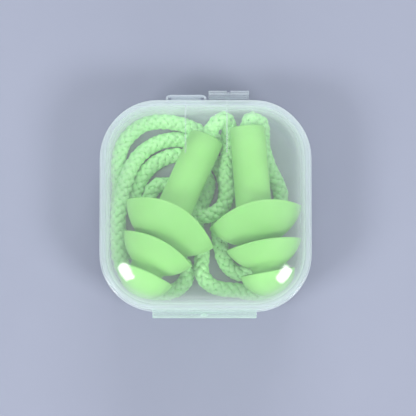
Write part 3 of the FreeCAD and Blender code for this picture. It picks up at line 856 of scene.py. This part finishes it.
def map_range(tree, source, name, least, most):
    made = node(tree, "ShaderNodeMapRange", in_To_Min=least, in_To_Max=most)
    link(tree, source, name, made, "Value")
    return made


def math_node(tree, operation, first, second):
    """A Math node on the first output of a node, and on that of another or a number."""
    made = node(tree, "ShaderNodeMath", operation=operation)
    tree.links.new(first.outputs[0], made.inputs[0])
    if isinstance(second, float):
        made.inputs[1].default_value = second
    else:
        tree.links.new(second.outputs[0], made.inputs[1])
    return made


def mix_shaders(tree, share, first, second):
    """A mix of two shaders, by a number or by a node's first output."""
    made = node(tree, "ShaderNodeMixShader")
    if isinstance(share, float):
        made.inputs[0].default_value = share
    else:
        tree.links.new(share.outputs[0], made.inputs[0])
    tree.links.new(first.outputs[0], made.inputs[1])
    tree.links.new(second.outputs[0], made.inputs[2])
    return made


def surface(tree, shader):
    link(tree, shader, shader.outputs[0].name, node(tree, "ShaderNodeOutputMaterial"), "Surface")


def braid_material():
    """Bright green polyester yarn: fine filaments along each yarn, and faint darker patches."""
    material, tree = new_material("green_braid")
    cloth = node(tree, "ShaderNodeBsdfPrincipled", in_Roughness=0.72, in_Specular_IOR_Level=0.3,
                 in_Sheen_Weight=0.45, in_Sheen_Roughness=0.5, in_Sheen_Tint=(0.75, 1.0, 0.75, 1.0),
                 in_Subsurface_Weight=0.06, in_Subsurface_Radius=(0.3, 1.0, 0.3),
                 in_Subsurface_Scale=0.0006)
    place = node(tree, "ShaderNodeTexCoord")
    stretch = node(tree, "ShaderNodeMapping", in_Scale=(0.9, 14.0, 1.0))
    link(tree, place, "UV", stretch, "Vector")
    filaments = noise(tree, 3.2, 4.0, 0.6, (stretch, "Vector"))
    patches = noise(tree, 900.0, 2.0, 0.5, (place, "Object"))
    colour = ramp(tree, filaments, (0.3, (0.42, 1.0, 0.33)), (0.7, (0.66, 1.0, 0.54)))
    shade = ramp(tree, patches, (0.35, (0.92, 0.96, 0.92)), (0.65, (1.0, 1.0, 1.0)))
    both = node(tree, "ShaderNodeMix", data_type="RGBA", blend_type="MULTIPLY")
    # A colour mix has its factor at input 0, its colours at 6 and 7, and its result at output 2.
    both.inputs[0].default_value = 1.0
    tree.links.new(colour.outputs["Color"], both.inputs[6])
    tree.links.new(shade.outputs["Color"], both.inputs[7])
    tree.links.new(both.outputs[2], cloth.inputs["Base Color"])
    add_bump(tree, filaments, cloth, 0.5, 0.00006)
    surface(tree, cloth)
    return material


def painted_shade_core_material():
    """The yarn in the middle of the braid, a much darker green than the yarns: painted shade in the
    gaps between them.
    """
    material, tree = new_material("braid_core_painted_shade")
    cloth = node(tree, "ShaderNodeBsdfPrincipled", in_Roughness=0.9)
    lumps = noise(tree, 1800.0, 3.0, 0.6)
    colour = ramp(tree, lumps, (0.3, (0.09, 0.44, 0.12)), (0.7, (0.16, 0.60, 0.19)))
    link(tree, colour, "Color", cloth, "Base Color")
    surface(tree, cloth)
    return material


def silicone_material():
    """Soft matt green silicone with a faint mottle and fine moulded grain."""
    material, tree = new_material("green_silicone")
    rubber = node(tree, "ShaderNodeBsdfPrincipled", in_Specular_IOR_Level=0.35,
                  in_Subsurface_Weight=0.35, in_Subsurface_Radius=(0.5, 1.0, 0.4),
                  in_Subsurface_Scale=0.0012)
    broad = noise(tree, 260.0, 2.0, 0.5)
    colour = ramp(tree, broad, (0.35, (0.275, 0.625, 0.165)), (0.65, (0.30, 0.665, 0.185)))
    link(tree, colour, "Color", rubber, "Base Color")
    dull = ramp(tree, broad, (0.3, (0.46, 0.46, 0.46)), (0.7, (0.56, 0.56, 0.56)))
    link(tree, dull, "Color", rubber, "Roughness")
    add_bump(tree, noise(tree, 5200.0, 3.0, 0.6), rubber, 0.12, 0.00003)
    surface(tree, rubber)
    return material


MILK = (0.90, 0.95, 1.0, 1.0)
# The latch's green milk is painted green light from the plugs and cord, on plastic as clear as the
# lid's.
GREEN_LIGHT_MILK = (0.80, 0.99, 0.87, 1.0)
MIRROR_MOST = 0.16


def clear_material(name, least, most, milk_colour=MILK, glow_share=0.5):
    """Thin clear polypropylene: a milky haze under a gloss, thicker where the wall is seen edge on.

    The haze goes from least, seen square on, to most. glow_share is how much of it is translucent.
    """
    material, tree = new_material(name)
    through = node(tree, "ShaderNodeBsdfTransparent", in_Color=(0.985, 0.995, 0.995, 1.0))
    milk = node(tree, "ShaderNodeBsdfDiffuse", in_Color=milk_colour)
    glow = node(tree, "ShaderNodeBsdfTranslucent", in_Color=milk_colour)
    haze = mix_shaders(tree, glow_share, milk, glow)
    edge = node(tree, "ShaderNodeLayerWeight", in_Blend=0.35)
    amount = map_range(tree, edge, "Facing", least, most)
    vary = map_range(tree, noise(tree, 320.0, 2.0, 0.5), "Fac", 0.92, 1.08)
    body = mix_shaders(tree, math_node(tree, "MULTIPLY", amount, vary), through, haze)
    gloss = node(tree, "ShaderNodeBsdfGlossy", in_Roughness=0.09)
    add_bump(tree, noise(tree, 420.0, 1.0, 0.4), gloss, 0.12, 0.0001)
    fresnel = node(tree, "ShaderNodeFresnel", in_IOR=1.49)
    mirror = math_node(tree, "MINIMUM", fresnel, MIRROR_MOST)
    surface(tree, mix_shaders(tree, mirror, body, gloss))
    return material


def melt_material():
    """Yarn melted to a hard, uneven green bead."""
    material, tree = new_material("melted_yarn")
    hard = node(tree, "ShaderNodeBsdfPrincipled", in_Roughness=0.4)
    lumps = noise(tree, 1500.0, 3.0, 0.6)
    colour = ramp(tree, lumps, (0.3, (0.07, 0.45, 0.09)), (0.7, (0.16, 0.66, 0.17)))
    link(tree, colour, "Color", hard, "Base Color")
    add_bump(tree, lumps, hard, 0.6, 0.0001)
    surface(tree, hard)
    return material


def table_material():
    """A pale grey-blue board with a very faint mottle."""
    material, tree = new_material("pale_table")
    board = node(tree, "ShaderNodeBsdfPrincipled", in_Roughness=0.75, in_Specular_IOR_Level=0.2)
    mottle = noise(tree, 25.0, 4.0, 0.6)
    colour = ramp(tree, mottle, (0.3, (0.238, 0.256, 0.325)), (0.7, (0.25, 0.268, 0.338)))
    link(tree, colour, "Color", board, "Base Color")
    surface(tree, board)
    return material


def dress(obj, material):
    """Gives the first slot a material. Clearing the slots would reset each face's slot."""
    if obj.data.materials:
        obj.data.materials[0] = material
    else:
        obj.data.materials.append(material)


dress(cord, braid_material())
# The core's dark green is painted shade between the yarns.
cord.data.materials.append(painted_shade_core_material())
silicone = silicone_material()
for plug in plugs:
    dress(plug, silicone)
lid_plastic = clear_material("clear_polypropylene", 0.05, 0.85)
dress(lid_shell, lid_plastic)
dress(witness, lid_plastic)
dress(base_shell, clear_material("frosted_polypropylene", 0.37, 0.85, glow_share=0.2))
# In the order of the slots CLAW, LATCH and RIM.
other_plastics = (
    clear_material("hinge_polypropylene", 0.08, 0.6),
    # The latch's green haze is painted green light.
    clear_material("latch_polypropylene_painted_green_light", 0.27, 0.97, GREEN_LIGHT_MILK),
    clear_material("rim_polypropylene", 0.38, 0.95),
)
for case in (base_shell, lid_shell):
    for plastic in other_plastics:
        case.data.materials.append(plastic)
melted = melt_material()
for side in ("left", "right"):
    dress(bpy.data.objects["cord_end_" + side], melted)

# ---------------------------------------------------------------- table, lights and camera

# Here places and sizes are in metres, apart from the table's gap. The tilt is in radians.
TABLE_GAP = 0.05
TABLE_HALF = 0.6
LIGHT_TARGET = Vector((0.0, 0.0, 0.008))
SKY_COLOUR = (0.93, 0.96, 1.0, 1.0)
SKY_STRENGTH = 0.72
CAMERA_FAR = 0.27
CAMERA_TILT = math.radians(3.5)
CAMERA_TARGET = Vector((0.00034, -0.00031, PARTING * MM))
CAMERA_LENS = 165.2


def make_table():
    """The table is a hair below the case's flat underside, so that the two faces don't coincide."""
    bm = bmesh.new()
    bmesh.ops.create_grid(bm, x_segments=40, y_segments=40, size=TABLE_HALF)
    table = new_object("table", bm)
    table.location.z = -TABLE_GAP * MM
    dress(table, table_material())


def softbox(name, place, wide, high, watts, mirrored):
    """A rectangular light aimed at the case, which shows in its gloss if it is mirrored."""
    data = bpy.data.lights.new(name, "AREA")
    data.shape = "RECTANGLE"
    data.size = wide
    data.size_y = high
    data.energy = watts
    lamp = bpy.data.objects.new(name, data)
    bpy.context.scene.collection.objects.link(lamp)
    lamp.location = place
    lamp.rotation_euler = (LIGHT_TARGET - Vector(place)).to_track_quat("-Z", "Y").to_euler()
    lamp.visible_glossy = mirrored


def make_world():
    world = bpy.data.worlds.new("studio")
    world.use_nodes = True
    sky = world.node_tree.nodes["Background"]
    sky.inputs["Color"].default_value = SKY_COLOUR
    sky.inputs["Strength"].default_value = SKY_STRENGTH
    bpy.context.scene.world = world
    bpy.context.scene.view_settings.view_transform = "Standard"


def make_camera():
    data = bpy.data.cameras.new("camera")
    data.lens = CAMERA_LENS
    data.sensor_width = 36.0
    data.clip_start = 0.01
    camera = bpy.data.objects.new("camera", data)
    bpy.context.scene.collection.objects.link(camera)
    back = Vector((0, -math.sin(CAMERA_TILT), math.cos(CAMERA_TILT)))
    camera.location = CAMERA_TARGET + back * CAMERA_FAR
    camera.rotation_euler = (CAMERA_TILT, 0, 0)
    bpy.context.scene.camera = camera


make_table()
softbox("softbox_left", (-0.34, -0.19, 0.50), 0.17, 0.17, 2.0, True)
softbox("softbox_right", (0.33, -0.22, 0.50), 0.17, 0.17, 2.0, True)
softbox("softbox_back", (0.1, 0.95, 0.50), 0.6, 0.35, 6.5, False)
softbox("softbox_front", (0.0, -0.95, 0.50), 0.7, 0.35, 3.0, False)
make_world()
make_camera()

bpy.context.view_layer.update()
